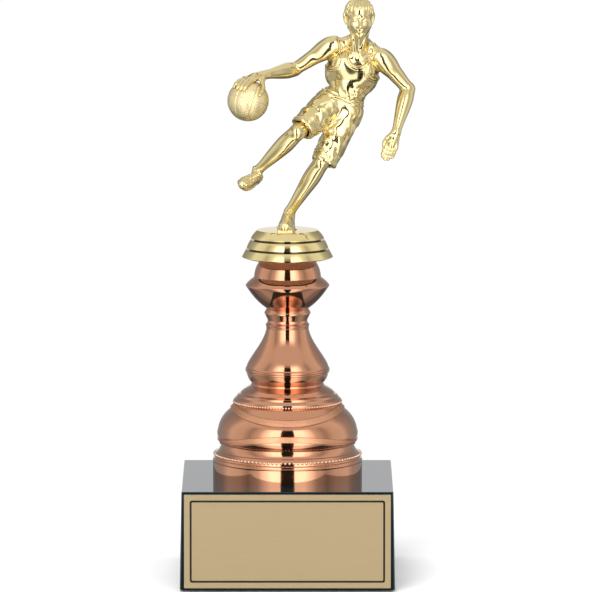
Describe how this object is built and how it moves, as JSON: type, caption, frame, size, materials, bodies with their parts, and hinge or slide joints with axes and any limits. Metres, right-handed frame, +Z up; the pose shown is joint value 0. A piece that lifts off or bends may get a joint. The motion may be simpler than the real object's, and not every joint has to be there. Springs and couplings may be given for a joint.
{
  "type": "column trophy",
  "caption": "Standing trophy: a gilt ball player on a tiered disc, over a turned copper riser on a square weighted base with a blank name plate.",
  "frame": {"origin": "centre of the felt's underside, on the rod's axis", "axes": "+Z up along the rod; the name plate faces -Y; +X is to the right when facing the plate"},
  "size_m": [0.1114, 0.1029, 0.2779],
  "materials": {
    "gold_mirror": "mirror gold metallised plastic",
    "gold_pebbled": "satin gold metallised plastic, pebbled",
    "copper_mirror": "mirror copper metallised plastic",
    "copper_frosted": "frosted copper metallised plastic",
    "base_black": "gloss",
    "plate_gold": "brushed satin, gold anodised",
    "plate_ink": "satin",
    "tape": "matte",
    "plaster": "matte",
    "fibre_board": "matte",
    "felt": "matte",
    "zinc_steel": "zinc plated",
    "nut_brass": "satin"
  },
  "bodies": {
    "stand": {"base_shell": "base_black", "base_weight": "plaster", "bottom_cover": "fibre_board", "cover_screw_1": "zinc_steel", "cover_screw_2": "zinc_steel", "cover_screw_3": "zinc_steel", "cover_screw_4": "zinc_steel", "bottom_felt": "felt", "plate_tape": "tape", "name_plate": "plate_gold", "riser_dome": "copper_mirror", "riser_dish": "copper_mirror", "riser_vase": "copper_mirror", "riser_collar": "copper_mirror", "riser_cup": "copper_mirror", "riser_cap": "copper_mirror", "threaded_rod": "zinc_steel", "base_washer": "zinc_steel", "lock_washer": "zinc_steel", "base_nut": "zinc_steel"},
    "figure": {"figure_base": "gold_mirror", "figure_nut": "nut_brass", "player": "gold_mirror", "basketball": "gold_pebbled"}
  },
  "joints": [
    {"name": "figure_turn", "type": "hinge", "parent": "stand", "child": "figure", "pos_m": [0, 0, 0.1536], "axis": [0, 0, 1], "range_deg": [-180, 180]}
  ]
}
